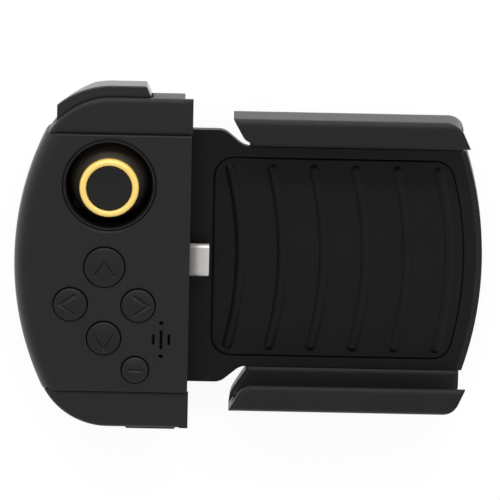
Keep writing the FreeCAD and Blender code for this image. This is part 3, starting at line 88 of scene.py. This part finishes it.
class Tree:
    """Adds nodes to a node tree."""

    def __init__(self, tree):
        self.tree = tree

    def node(self, kind, settings=None, inputs=None, output=0):
        """Adds a node: its settings first, then the values or links of its sockets."""
        node = self.tree.nodes.new(kind)
        for name, value in (settings or {}).items():
            setattr(node, name, value)
        for key, value in (inputs or {}).items():
            if isinstance(value, Value):
                self.tree.links.new(value.socket, self.socket(node, key))
            else:
                self.socket(node, key).default_value = value
        return Value(self, node.outputs[output])

    def socket(self, node, key):
        """Input by its number, its name or its identifier."""
        named = [socket for socket in node.inputs if key == socket.identifier]
        return named[0] if named else node.inputs[key]

    def part(self, vector, axis):
        """One of a vector's three numbers."""
        return self.node("ShaderNodeSeparateXYZ", {}, {0: vector}, axis)

    def place(self):
        return self.node("ShaderNodeTexCoord", output="Object")

    def noise(self, size, detail=2.0, stretch=(1, 1, 1)):
        """Noise from 0 to 1 whose grains are about size metres wide."""
        where = self.node("ShaderNodeMapping", {}, {"Vector": self.place(), "Scale": stretch})
        return self.node("ShaderNodeTexNoise", {}, {"Vector": where, "Scale": 1 / size, "Detail": detail})

    def soften(self, value, low, high):
        """Smooth step from 0 at low to 1 at high."""
        return self.node("ShaderNodeMapRange", {"interpolation_type": "SMOOTHSTEP"},
                         {"Value": value, "From Min": low, "From Max": high})

    def blend(self, mask, first, second):
        """Colour between two colours by a mask."""
        return self.node("ShaderNodeMix", {"data_type": "RGBA"}, {
            "Factor_Float": mask, "A_Color": (*first, 1), "B_Color": (*second, 1)}, 2)

    def light_path(self, ray):
        return self.node("ShaderNodeLightPath", output=ray)


class Shader(Tree):
    """A material with one Principled shader; the constants are set on its sockets."""

    def __init__(self, name, **constants):
        self.material = bpy.data.materials.new(name)
        self.material.use_nodes = True
        super().__init__(self.material.node_tree)
        self.principled = self.tree.nodes["Principled BSDF"]
        for name, value in constants.items():
            self.principled.inputs[name.replace("_", " ")].default_value = value

    def feed(self, name, value):
        self.tree.links.new(value.socket, self.principled.inputs[name])

    def bump(self, height, strength, distance, edge=0.05 * MM):
        """Bump from a height in distance metres, over edges that look rounded to a radius of edge metres."""
        rounded = self.node("ShaderNodeBevel", {"samples": 6}, {"Radius": edge})
        self.feed("Normal", self.node("ShaderNodeBump", {}, {
            "Height": height, "Strength": strength, "Distance": distance, "Normal": rounded}))


# Materials
CLOUD_SIZE = 9 * MM       # patches of lighter plastic
SPECK_SIZE = 0.6 * MM     # patches of rougher plastic
GRAIN_SIZE = 0.25 * MM    # of a spark-eroded skin
GRAIN_DEPTH = 0.012 * MM
ROUGH_SPREAD = 0.04       # either way
DIMPLE_PITCH = 0.9 * MM
DIMPLE_DEPTH = 0.09 * MM
DRAWN_WIDTH = 0.35 * MM   # of the lines on drawn metal
DRAWN_STRETCH = (0.08, 1, 1)
DRAWN_LIGHTER = 1.12
DRAWN_SPREAD = 0.05       # of their roughness, either way


def moulded(name, dark, light, rough, depth=GRAIN_DEPTH, level=0.35, edge=0.15 * MM):
    """Moulded plastic with a spark-eroded skin: grains in bump, faint clouds in colour and roughness."""
    shader = Shader(name, Specular_IOR_Level=level)
    clouds = shader.noise(CLOUD_SIZE, 3.0)
    shader.feed("Base Color", shader.blend(shader.soften(clouds, 0.35, 0.65), dark, light))
    specks = shader.noise(SPECK_SIZE)
    shader.feed("Roughness", rough - ROUGH_SPREAD + 2 * ROUGH_SPREAD * specks)
    shader.bump(shader.noise(GRAIN_SIZE), 0.5, depth, edge)
    return shader.material


def dimpled_rubber(name, dark, light):
    """Rubber with rows of dimples, the product of two sines a pitch long, and fine grains on them; the
    dimples' pits are painted darker than their rims, as painted shade.
    """
    shader = Shader(name, Specular_IOR_Level=0.3)
    place = shader.place()
    wave = 2 * np.pi / DIMPLE_PITCH
    dimples = (wave * shader.part(place, 0)).sine() * (wave * shader.part(place, 1)).sine()
    # Painted shade: the colour goes from light to dark as the dimples sink, so the bottom of each pit is
    # painted darker
    shader.feed("Base Color", shader.blend(shader.soften(dimples, -0.6, 0.8), light, dark))
    shader.feed("Roughness", 0.56 + 0.1 * shader.noise(0.8 * MM))
    shader.bump(0.5 - 0.5 * dimples + 0.2 * shader.noise(0.2 * MM), 0.6, DIMPLE_DEPTH)
    return shader.material


def drawn_metal(name, colour, rough, metallic=1.0):
    """Metal with faint drawing lines along X."""
    shader = Shader(name, Metallic=metallic)
    lines = shader.noise(DRAWN_WIDTH, stretch=DRAWN_STRETCH)
    lighter = tuple(min(1, part * DRAWN_LIGHTER) for part in colour)
    shader.feed("Base Color", shader.blend(lines, colour, lighter))
    shader.feed("Roughness", rough - DRAWN_SPREAD + 2 * DRAWN_SPREAD * lines)
    return shader.material


MATERIALS = {
    "panel_plastic": moulded("panel plastic", (0.0058, 0.0062, 0.0068), (0.0070, 0.0074, 0.0080), 0.5),
    "cap_plastic": moulded("cap plastic", (0.0062, 0.0062, 0.0065), (0.0074, 0.0074, 0.0077), 0.5,
                           edge=1.6 * MM),
    "cradle_plastic": moulded("cradle plastic", (0.0018, 0.0018, 0.0019), (0.0024, 0.0024, 0.0025), 0.5,
                              level=0.23),
    "arm_plastic": moulded("arm plastic", (0.0062, 0.0064, 0.0067), (0.0073, 0.0075, 0.0078), 0.5,
                           level=0.3, edge=1.9 * MM),
    "pad_rubber": moulded("pad rubber", (0.0016, 0.0016, 0.0016), (0.0022, 0.0022, 0.0022), 0.58, level=0.22),
    "collar_plastic": moulded("collar plastic", (0.0052, 0.0052, 0.0054), (0.0062, 0.0062, 0.0064), 0.42),
    "inner_plastic": moulded("inner plastic", (0.02, 0.02, 0.02), (0.03, 0.03, 0.03), 0.5),
    "skirt_plastic": moulded("skirt plastic", (0.0370, 0.0310, 0.0220), (0.0420, 0.0350, 0.0250), 0.45,
                             level=0.25),
    "yellow_plastic": moulded("yellow plastic", (0.94, 0.65, 0.14), (0.96, 0.68, 0.16), 0.18,
                              depth=0.003 * MM, level=1.0),
    # Its darker colour is the painted shade at the bottom of the dimples' pits
    "disc_rubber": dimpled_rubber("disc rubber", (0.0030, 0.0030, 0.0033), (0.0060, 0.0060, 0.0068)),
    "button_plastic": moulded("button plastic", (0.0045, 0.0046, 0.0049), (0.0055, 0.0056, 0.0059), 0.5,
                              level=0.32),
    "shoulder_plastic": moulded("shoulder plastic", (0.0050, 0.0050, 0.0052), (0.0060, 0.0060, 0.0062), 0.3,
                                depth=0.004 * MM, level=0.5),
    "membrane_rubber": moulded("membrane rubber", (0.25, 0.25, 0.25), (0.30, 0.30, 0.30), 0.6),
    "board": moulded("board lacquer", (0.003, 0.004, 0.0035), (0.004, 0.005, 0.0045), 0.35),
    "sheet_steel": drawn_metal("sheet steel", (0.55, 0.55, 0.56), 0.35),
    "spring_steel": drawn_metal("spring steel", (0.5, 0.5, 0.51), 0.3),
    "screw_steel": drawn_metal("screw steel", (0.16, 0.16, 0.17), 0.35),
    "plug_metal": drawn_metal("plug metal", (0.66, 0.63, 0.61), 0.38, 0.6),
}

# Nodes with another finish than the rest of their slot
OWN_MATERIALS = {
    "cradle_cover": moulded("cover plastic", (0.0052, 0.0053, 0.0056), (0.0062, 0.0063, 0.0066), 0.5,
                            level=0.33, edge=0.4 * MM),
}


def finish_nodes():
    """Gives every CAD node its material."""
    for node, thing in frame["nodes"].items():
        thing.data.materials.clear()
        thing.data.materials.append(OWN_MATERIALS.get(node, MATERIALS[SLOT_OF[node]]))


# Surfaces from arrays of points
SOFT_ROWS = 6             # of a softened corner
SOFT_SHARE = 0.48         # of a step that its two corners may each take
MERGE = 0.0002 * MM       # points closer together become one


def quads(rows, columns, closed_rows=False, closed_columns=False):
    """Corner numbers of the quads of a grid; a closed direction joins its last line to its first."""
    row = np.arange(rows if closed_rows else rows - 1)
    column = np.arange(columns if closed_columns else columns - 1)
    row, column = np.meshgrid(row, column, indexing="ij")
    next_row = (row + 1) % rows
    next_column = (column + 1) % columns
    corners = [row * columns + column, next_row * columns + column,
               next_row * columns + next_column, row * columns + next_column]
    return np.stack(corners, axis=-1).reshape(-1, 4)


def add_piece(name, node, points, faces):
    """Mesh of quads and other faces that stands for a CAD node: doubles merged, faces turned outwards."""
    mesh = bpy.data.meshes.new(name)
    mesh.from_pydata(points.reshape(-1, 3).tolist(), [], [list(face) for face in faces])
    work = bmesh.new()
    work.from_mesh(mesh)
    bmesh.ops.remove_doubles(work, verts=work.verts, dist=MERGE)
    bmesh.ops.recalc_face_normals(work, faces=work.faces)
    work.to_mesh(mesh)
    work.free()
    mesh.shade_smooth()
    mesh.materials.append(MATERIALS[SLOT_OF[node]])
    thing = bpy.data.objects.new(name, mesh)
    bpy.context.scene.collection.objects.link(thing)
    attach(thing, BODY_OF[node])
    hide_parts(node)


def toward(steps, reach):
    """Each step shortened to its reach, or to just under half its length."""
    length = np.maximum(np.hypot(steps[:, 0], steps[:, 1]), 1e-9)
    return steps * (np.minimum(reach, SOFT_SHARE * length) / length)[:, None]


def softened(corners, closed=True):
    """Profile through corners (r, z, radius): each becomes a parabola from radius before to radius after it.

    A parabola is (1-t)^2 start + 2t(1-t) corner + t^2 end for t from 0 to 1."""
    corners = np.array(corners, float)
    spots = corners[:, :2]
    before = np.roll(spots, 1, axis=0) - spots
    after = np.roll(spots, -1, axis=0) - spots
    if not closed:
        before[0] = 0
        after[-1] = 0
    starts = spots + toward(before, corners[:, 2])
    ends = spots + toward(after, corners[:, 2])
    t = np.linspace(0, 1, SOFT_ROWS)[None, :, None]
    arcs = (1 - t) ** 2 * starts[:, None] + 2 * t * (1 - t) * spots[:, None] + t ** 2 * ends[:, None]
    return arcs.reshape(-1, 2)


def middle(node):
    """Middle of a node's box across X and Y, its lowest and highest Z and half its width, in mm."""
    low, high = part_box(node)
    return ((low.x + high.x) / 2 / MM, (low.y + high.y) / 2 / MM, low.z / MM, high.z / MM,
            (high.x - low.x) / 2 / MM)


def turned_points(profile, x, y, steps):
    """Profile (r, z) turned about the vertical through x, y: (x + r cos a, y + r sin a, z)."""
    angle = np.linspace(0, 2 * np.pi, steps, endpoint=False)
    radius = profile[:, :1]
    height = np.broadcast_to(profile[:, 1:], (len(profile), steps))
    return np.stack([x + radius * np.cos(angle), y + radius * np.sin(angle), height], axis=-1)


def add_turned(name, node, profile, closed, x, y, steps):
    points = turned_points(profile, x, y, steps)
    add_piece(name, node, points * MM, quads(len(profile), steps, closed, True))


# Thumbstick
CAP_STEPS = 160           # round the ring and the disc
WELL_STEPS = 200          # round the dome and the collar
RING_ROWS = 41            # of the rounded top
RING_GAP = 0.05           # round the disc
RING_CROWN = 1.15         # height of the rounded top
RING_FOOT = 1             # width of the foot under the outer edge
RING_FOOT_HIGH = 0.4
DISC_ROWS = 40            # of the hollow top
DISC_HOLLOW = 0.4
DISC_EDGE = 0.35          # width of the soft edge
DOME_RIM = np.radians(80)
DOME_THICK = 0.8
DOME_ROWS = 70
LINING_ROWS = 40
HUB_R = 2.6
HUB_LENGTH = 3.0
STEM_HOLE_R = 1.5
COLLAR_FLANGE = 1.1
COLLAR_FLANGE_THICK = 0.9
COLLAR_WALL = 0.9
COLLAR_SLOPE = 0.3        # of the inner edge, inwards
COLLAR_SLOPE_DEEP = 0.7


def add_ring():
    """Yellow ring: the top of its section is half an ellipse, and its outer edge stands on a foot."""
    x, y, low, top, outer = middle("stick_ring")
    inner = middle("stick_disc")[4] + RING_GAP
    half = (outer - inner) / 2
    angle = np.linspace(0, np.pi, RING_ROWS)
    arch = np.stack([(outer + inner) / 2 + half * np.cos(angle),
                     top - RING_CROWN + RING_CROWN * np.sin(angle)], axis=1)
    foot = softened([(inner, low + RING_FOOT_HIGH, 0), (outer - RING_FOOT, low + RING_FOOT_HIGH, 0),
                     (outer - RING_FOOT, low, 0), (outer, low, 0.25)], closed=False)
    add_turned("thumb_ring", "stick_ring", np.concatenate([arch, foot]), True, x, y, CAP_STEPS)


def add_disc():
    """Rubber disc: a hollow top whose height grows with the square of the radius, and a soft edge."""
    x, y, low, top, outer = middle("stick_disc")
    radius = np.linspace(0, outer - DISC_EDGE, DISC_ROWS)
    bowl = np.stack([radius, top - DISC_HOLLOW + DISC_HOLLOW * (radius / outer) ** 2], axis=1)
    side = softened([(outer, top, 0.3), (outer, low, 0), (0, low, 0)], closed=False)
    add_turned("thumb_disc", "stick_disc", np.concatenate([bowl, side]), False, x, y, CAP_STEPS)


def add_dome():
    """Dome round the stick: two concentric arcs, r = R sin a and z = centre + R cos a, and the hub that
    joins them."""
    x, y, low, top, outer = middle("stick_skirt")
    ball = outer / np.sin(DOME_RIM)
    hollow = ball - DOME_THICK
    centre = low - ball * np.cos(DOME_RIM)
    seat = np.arccos((top - centre) / ball)
    outside = np.linspace(seat, DOME_RIM, DOME_ROWS)
    inside = np.linspace(DOME_RIM, np.arcsin(HUB_R / hollow), LINING_ROWS)
    shell = np.stack([ball * np.sin(outside), centre + ball * np.cos(outside)], axis=1)
    lining = np.stack([hollow * np.sin(inside), centre + hollow * np.cos(inside)], axis=1)
    hub = np.array([(HUB_R, top - HUB_LENGTH), (STEM_HOLE_R, top - HUB_LENGTH), (STEM_HOLE_R, top)])
    add_turned("stick_dome", "stick_skirt", np.concatenate([shell, lining, hub]), True, x, y, WELL_STEPS)


def add_collar():
    """Ring round the stick with softened top edges, on a flange."""
    x, y, low, top, wide = middle("stick_collar")
    outer = wide - COLLAR_FLANGE
    inner = outer - COLLAR_WALL
    step = low + COLLAR_FLANGE_THICK
    profile = softened([(inner, low, 0.1), (wide, low, 0.1), (wide, step, 0.1), (outer, step, 0),
                        (outer, top, 0.25), (inner + COLLAR_SLOPE, top, 0.3),
                        (inner, top - COLLAR_SLOPE_DEEP, 0.3)])
    add_turned("well_collar", "stick_collar", profile, True, x, y, WELL_STEPS)


# Buttons
BUTTON_FLANGE = 0.55
BUTTON_FLANGE_THICK = 0.8
BUTTON_CROWN = 0.7
BUTTON_SOFTEN = 0.35
BUTTON_ROWS = 90          # of the top, from its middle to its edge
BUTTON_STEPS = 192
PLUNGER_R = 1.8
PLUNGER_LENGTH = 3.0
GROOVE_DEPTH = 0.42
GROOVE_HALF = 0.34
# Each mark's direction, reach of its tip and of its ends, and half its spread, in radii
MARKS = {
    "up_button": (90, 0.34, -0.40, 0.46),
    "left_button": (180, 0.64, -0.25, 0.57),
    "right_button": (0, 0.64, -0.25, 0.57),
    "down_button": (270, 0.64, -0.25, 0.57),
    "function_button": (90, 0.0, 0.0, 0.40),
}


def stroke_distance(x, y, first, last):
    """Distance from points to the straight stroke between two ends."""
    run = np.subtract(last, first)
    part = np.clip(((x - first[0]) * run[0] + (y - first[1]) * run[1]) / (run @ run), 0, 1)
    return np.hypot(x - first[0] - part * run[0], y - first[1] - part * run[1])


def mark_distance(x, y, direction, tip, ends, spread):
    """Distance from points, in radii, to a chevron's two strokes; its tip points along the direction."""
    turn = np.radians(direction)
    along = x * np.cos(turn) + y * np.sin(turn)
    across = y * np.cos(turn) - x * np.sin(turn)
    return np.minimum(stroke_distance(along, across, (tip, 0), (ends, spread)),
                      stroke_distance(along, across, (tip, 0), (ends, -spread)))


def add_button(node, mark):
    """Button: a domed top that falls with the square of the radius, sunk by depth exp(-(d/half)^2) at a
    distance d from the mark's strokes, then a soft edge, the side, a flange and the plunger."""
    x, y, low, top, wide = middle(node)
    face = wide - BUTTON_FLANGE
    under = low + PLUNGER_LENGTH
    step = under + BUTTON_FLANGE_THICK
    radius = np.linspace(0, face - BUTTON_SOFTEN, BUTTON_ROWS)
    crown = np.stack([radius, top - BUTTON_CROWN * (radius / face) ** 2], axis=1)
    side = softened([(face, top - BUTTON_CROWN, BUTTON_SOFTEN), (face, step, 0), (wide, step, 0.1),
                     (wide, under, 0.1), (PLUNGER_R, under, 0), (PLUNGER_R, low, 0.2), (0, low, 0)],
                    closed=False)
    points = turned_points(np.concatenate([crown, side]), x, y, BUTTON_STEPS)
    top_rows = points[:BUTTON_ROWS]
    distance = face * mark_distance((top_rows[..., 0] - x) / face, (top_rows[..., 1] - y) / face, *mark)
    top_rows[..., 2] -= GROOVE_DEPTH * np.exp(-(distance / GROOVE_HALF) ** 2)
    add_piece(node + "_cap", node, points * MM, quads(len(points), BUTTON_STEPS, False, True))


# Phone pad
PAD_CORNER = 5.0
PAD_BOW = 84.3            # radius of its free end
PAD_THICK = 1.0
PAD_SOFTEN = 0.3
PAD_LINES = 200           # along X, side by side
PAD_STEPS = 330           # on each line
BEADS = 6
BEAD_HALF = 22.4
BEAD_BULGE = 2.9
BEAD_WIDTH = 2.6
BEAD_HEIGHT = 0.8
BEAD_FIRST = 6.8          # from the pad's start to the first bead's crest
BEAD_LAST = 3.45          # from the last bead's crest to the pad's end


def pad_ends(y, start, end, half, grow):
    """Where the pad starts and ends at each y: straight and bowed edges joined by corner circles."""
    corner = PAD_CORNER + grow
    past = np.clip(np.abs(y) - (half - PAD_CORNER), 0, corner)
    left = start - grow + corner - np.sqrt(corner ** 2 - past ** 2)
    middle_x = end - PAD_BOW
    bow = PAD_BOW + grow
    corner_x = middle_x + np.sqrt((bow - corner) ** 2 - (half - PAD_CORNER) ** 2)
    join = bow * (half - PAD_CORNER) / (bow - corner)
    bowed = middle_x + np.sqrt(bow ** 2 - y ** 2)
    round_end = corner_x + np.sqrt(corner ** 2 - past ** 2)
    return left, np.where(np.abs(y) < join, bowed, round_end)


def pad_sheet(plan, grow, height):
    """Flat grid of the pad's plan, grown by a width: straight lines along X between the pad's two ends,
    closer together near the sides."""
    start, end, half = plan
    share = np.sin(np.linspace(-np.pi / 2, np.pi / 2, PAD_LINES))[:, None]
    part = np.linspace(0, 1, PAD_STEPS)[None, :]
    y = share * (half + grow)
    left, right = pad_ends(y, start, end, half, grow)
    x = left + (right - left) * part
    return np.stack([x, np.broadcast_to(y, x.shape), np.full_like(x, height)], axis=-1)


def rim_of(grid):
    """Points round a grid's edge, in order."""
    return np.concatenate([grid[0, :-1], grid[:-1, -1], grid[-1, :0:-1], grid[:0:-1, 0]])


def bead_height(x, y, start, end):
    """Round ridges: (1 - (d/half width)^2) high at a distance d from arcs bowed towards the free end."""
    bow = (BEAD_HALF ** 2 + BEAD_BULGE ** 2) / (2 * BEAD_BULGE)
    swing = np.arctan2(BEAD_HALF, bow - BEAD_BULGE)
    height = np.zeros_like(x)
    for crest in np.linspace(start + BEAD_FIRST, end - BEAD_LAST, BEADS):
        angle = np.clip(np.arctan2(y, x - crest + bow), -swing, swing)
        distance = np.hypot(x - crest + bow - bow * np.cos(angle), y - bow * np.sin(angle))
        height += BEAD_HEIGHT * np.clip(1 - (distance / (BEAD_WIDTH / 2)) ** 2, 0, 1)
    return height


def add_pad():
    """Pad: its plan with the beads' height on it, an edge rounded by a quarter circle, a wall and a flat
    underside."""
    low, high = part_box("phone_pad")
    plan = (low.x / MM, high.x / MM, high.y / MM)
    bottom = low.z / MM
    face = bottom + PAD_THICK
    top = pad_sheet(plan, -PAD_SOFTEN, face)
    top[..., 2] += bead_height(top[..., 0], top[..., 1], plan[0], plan[1])
    walls = [rim_of(pad_sheet(plan, PAD_SOFTEN * (np.sin(turn) - 1), face - PAD_SOFTEN * (1 - np.cos(turn))))
             for turn in np.linspace(0, np.pi / 2, SOFT_ROWS)]
    walls = np.array(walls + [rim_of(pad_sheet(plan, 0, bottom))])
    rows, columns = walls.shape[:2]
    points = np.concatenate([top.reshape(-1, 3), walls.reshape(-1, 3)])
    faces = quads(PAD_LINES, PAD_STEPS).tolist()
    faces += (quads(rows, columns, False, True) + PAD_LINES * PAD_STEPS).tolist()
    faces.append(range(len(points) - columns, len(points)))
    add_piece("ribbed_pad", "phone_pad", points * MM, faces)


# Plug
PLUG_WALL = 0.35
PLUG_STEPS = 120


def add_plug():
    """Plug shell: an oblong loop carried along X, out over its softened tip and back inside."""
    low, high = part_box("plug_shell")
    height = (low.z + high.z) / 2 / MM
    root, tip = low.x / MM, high.x / MM
    thick = (high.z - low.z) / 2 / MM
    straight = (high.y - low.y) / 2 / MM - thick
    path = softened([(root, 0, 0), (tip, 0, 0.22), (tip, PLUG_WALL, 0.1), (root, PLUG_WALL, 0)])
    angle = 2 * np.pi * (np.arange(PLUG_STEPS) + 0.5) / PLUG_STEPS
    radius = (thick - path[:, 1])[:, None]
    y = straight * np.sign(np.cos(angle)) + radius * np.cos(angle)
    z = height + radius * np.sin(angle)
    x = np.broadcast_to(path[:, :1], y.shape)
    add_piece("plug_tube", "plug_shell", np.stack([x, y, z], axis=-1) * MM, quads(*y.shape, True, True))


# Stage
VIEW_LIFT = np.radians(13.5)      # of the camera, from straight above towards +Y
VIEW_ROLL = np.radians(1.15)      # clockwise roll of the object in the picture
VIEW_CENTRE = Vector((16.74, 1.70, 9.4)) * MM
VIEW_RANGE = 4.0
VIEW_WIDTH = 124 * MM
FLOOR_SIZE = 6
FLOOR_PLACE = (0.016, 0, -0.00002)
FLOOR_GLOW = 1.06         # as the camera sees it
FLOOR_GLOSS = 0.8         # more in reflections
FLOOR_SHARE = 0.85        # of glow; the rest keeps the object's shadow
SKY_OVERHEAD = 0.62
SKY_SIDES = 1.3


def add_camera():
    back = Vector((0, np.sin(VIEW_LIFT), np.cos(VIEW_LIFT)))
    level_up = Vector((0, np.cos(VIEW_LIFT), -np.sin(VIEW_LIFT)))
    along = Vector((1, 0, 0))
    right = along * np.cos(VIEW_ROLL) + level_up * np.sin(VIEW_ROLL)
    up = level_up * np.cos(VIEW_ROLL) - along * np.sin(VIEW_ROLL)
    lens = bpy.data.cameras.new("camera")
    lens.sensor_width = 36
    lens.lens = lens.sensor_width * VIEW_RANGE / VIEW_WIDTH
    lens.clip_start = 0.01
    camera = bpy.data.objects.new("camera", lens)
    bpy.context.scene.collection.objects.link(camera)
    spot = VIEW_CENTRE + back * VIEW_RANGE
    turn = Matrix((right, up, back)).transposed().to_4x4()
    camera.matrix_world = Matrix.Translation(spot) @ turn
    bpy.context.scene.camera = camera


def add_floor():
    """White table: bright to the camera and in gloss, with the object's shadow kept in part."""
    bpy.ops.mesh.primitive_plane_add(size=FLOOR_SIZE, location=FLOOR_PLACE)
    floor = bpy.context.object
    floor.name = "floor"
    shader = Shader("floor paper", Roughness=0.9, Base_Color=(0.86, 0.86, 0.86, 1))
    in_gloss = shader.light_path("Is Glossy Ray")
    seen = shader.light_path("Is Camera Ray").at_least(in_gloss)
    glow = shader.node("ShaderNodeEmission", {}, {
        "Color": (1, 1, 1, 1), "Strength": FLOOR_GLOW + FLOOR_GLOSS * in_gloss})
    mixed = shader.node("ShaderNodeMixShader", {}, {
        0: seen * FLOOR_SHARE, 1: Value(shader, shader.principled.outputs[0]), 2: glow})
    shader.tree.links.new(mixed.socket, shader.tree.nodes["Material Output"].inputs["Surface"])
    floor.data.materials.append(shader.material)


def add_lamp(name, place, width, height, power):
    """Strip lamp that looks at the middle of the object."""
    light = bpy.data.lights.new(name, "AREA")
    light.shape = "RECTANGLE"
    light.size = width
    light.size_y = height
    light.energy = power
    lamp = bpy.data.objects.new(name, light)
    bpy.context.scene.collection.objects.link(lamp)
    lamp.location = place
    aim = VIEW_CENTRE - Vector(place)
    lamp.rotation_euler = aim.to_track_quat("-Z", "Y").to_euler()


def add_world():
    """Studio: overhead + (sides - overhead) (1 - height)^2, height being the direction's Z."""
    world = bpy.data.worlds.new("studio")
    bpy.context.scene.world = world
    world.use_nodes = True
    tree = Tree(world.node_tree)
    height = tree.part(tree.place(), 2).at_least(0.0)
    strength = SKY_OVERHEAD + (SKY_SIDES - SKY_OVERHEAD) * (1 - height) ** 2
    background = world.node_tree.nodes["Background"]
    world.node_tree.links.new(strength.socket, background.inputs["Strength"])
    background.inputs["Color"].default_value = (1, 1, 1, 1)


finish_nodes()
add_ring()
add_disc()
add_dome()
add_collar()
for button, mark in MARKS.items():
    add_button(button, mark)
add_pad()
add_plug()
add_camera()
add_floor()
add_world()
add_lamp("back", place=(0.0, 0.75, 0.6), width=1.3, height=0.13, power=6)
bpy.context.scene.view_settings.view_transform = "Standard"
